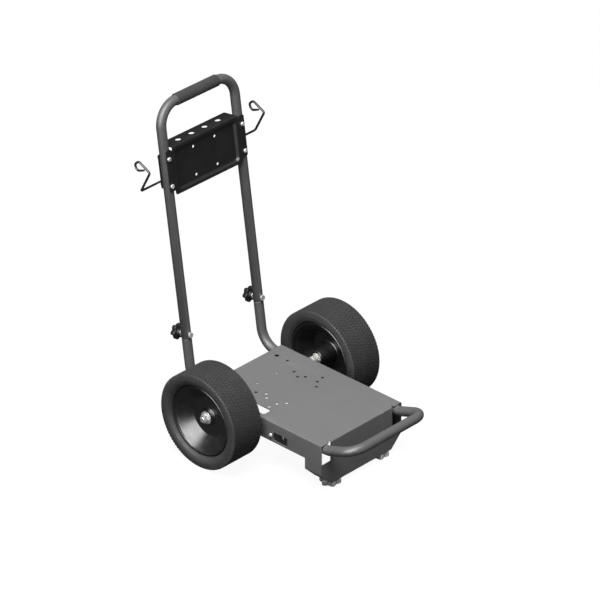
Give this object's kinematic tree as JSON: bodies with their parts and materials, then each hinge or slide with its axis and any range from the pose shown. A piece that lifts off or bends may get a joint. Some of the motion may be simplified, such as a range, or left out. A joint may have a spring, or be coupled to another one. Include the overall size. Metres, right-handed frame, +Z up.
{
  "type": "torch cart",
  "caption": "Two-wheel hand cart with a low folded deck, front bumper loop, tall leaning handle frame, tool tray with tip holes and side hose hooks.",
  "frame": {"origin": "on the floor, under the middle of the overall length and width", "axes": "+Z up, -Y to the front bumper, +Y to the handle, X along the wheel axle"},
  "size_m": [0.5234, 0.678, 0.8684],
  "materials": {
    "deck_paint": "semi-gloss grey powder coat on folded sheet",
    "tube_paint": "semi-gloss grey powder coat on bent tube",
    "tray_paint": "satin black powder coat",
    "tyre_rubber": "matt rubber with a fine tread",
    "hub_plastic": "gloss black moulding",
    "grip_foam": "matt closed-cell foam",
    "knob_plastic": "satin black moulding",
    "foot_rubber": "matt grey rubber",
    "bush_nylon": "natural nylon",
    "bright_zinc": "bright zinc-plated steel"
  },
  "bodies": {
    "cart_frame": {"axle_rod": "bright_zinc", "bumper_tube": "tube_paint", "deck_plate": "deck_paint", "handle_grip": "grip_foam", "handle_tube": "tube_paint", "left_axle_nut": "bright_zinc", "left_axle_spacer": "bright_zinc", "left_axle_washer": "bright_zinc", "left_blanking_plate": "tray_paint", "left_foot_nut": "bright_zinc", "left_foot_screw": "bright_zinc", "left_front_foot": "foot_rubber", "left_handle_bolt": "bright_zinc", "left_hook_bracket": "tray_paint", "left_hose_hook": "tray_paint", "left_lower_tray_nut": "bright_zinc", "left_lower_tray_screw": "bright_zinc", "left_lower_upright": "tube_paint", "left_plate_nut": "bright_zinc", "left_plate_screw": "bright_zinc", "left_upper_tray_nut": "bright_zinc", "left_upper_tray_screw": "bright_zinc", "right_axle_nut": "bright_zinc", "right_axle_spacer": "bright_zinc", "right_axle_washer": "bright_zinc", "right_blanking_plate": "tray_paint", "right_foot_nut": "bright_zinc", "right_foot_screw": "bright_zinc", "right_front_foot": "foot_rubber", "right_handle_bolt": "bright_zinc", "right_hook_bracket": "tray_paint", "right_hose_hook": "tray_paint", "right_lower_tray_nut": "bright_zinc", "right_lower_tray_screw": "bright_zinc", "right_lower_upright": "tube_paint", "right_plate_nut": "bright_zinc", "right_plate_screw": "bright_zinc", "right_upper_tray_nut": "bright_zinc", "right_upper_tray_screw": "bright_zinc", "tool_tray": "tray_paint"},
    "left_wheel": {"left_wheel_tyre": "tyre_rubber", "left_wheel_hub": "hub_plastic", "left_inner_bush": "bush_nylon", "left_outer_bush": "bush_nylon"},
    "right_wheel": {"right_wheel_tyre": "tyre_rubber", "right_wheel_hub": "hub_plastic", "right_inner_bush": "bush_nylon", "right_outer_bush": "bush_nylon"},
    "left_washer": {"left_knob_washer": "bright_zinc"},
    "right_washer": {"right_knob_washer": "bright_zinc"},
    "left_knob": {"left_star_knob": "knob_plastic"},
    "right_knob": {"right_star_knob": "knob_plastic"}
  },
  "joints": [
    {"name": "left_wheel_spin", "type": "hinge", "parent": "cart_frame", "child": "left_wheel", "pos_m": [-0.2122, 0.07294, 0.127], "axis": [1, 0, 0], "continuous": true},
    {"name": "left_knob_travel", "type": "slide", "parent": "cart_frame", "child": "left_washer", "axis": [0, 0.9905, -0.1374], "range_m": [0, 0.0061]},
    {"name": "left_knob_turn", "type": "hinge", "parent": "left_washer", "child": "left_knob", "pos_m": [-0.1275, 0.2403, 0.25387], "axis": [0, 0.9905, -0.1374], "range_deg": [0, 1728]},
    {"name": "right_wheel_spin", "type": "hinge", "parent": "cart_frame", "child": "right_wheel", "pos_m": [0.2122, 0.07294, 0.127], "axis": [1, 0, 0], "continuous": true},
    {"name": "right_knob_travel", "type": "slide", "parent": "cart_frame", "child": "right_washer", "axis": [0, 0.9905, -0.1374], "range_m": [0, 0.0061]},
    {"name": "right_knob_turn", "type": "hinge", "parent": "right_washer", "child": "right_knob", "pos_m": [0.1275, 0.2403, 0.25387], "axis": [0, 0.9905, -0.1374], "range_deg": [0, 1728]}
  ],
  "couplings": [
    {"joint": "left_knob_travel", "follows": "left_knob_turn", "m_per_rad": 0.00019894},
    {"joint": "right_knob_travel", "follows": "right_knob_turn", "m_per_rad": 0.00019894}
  ]
}
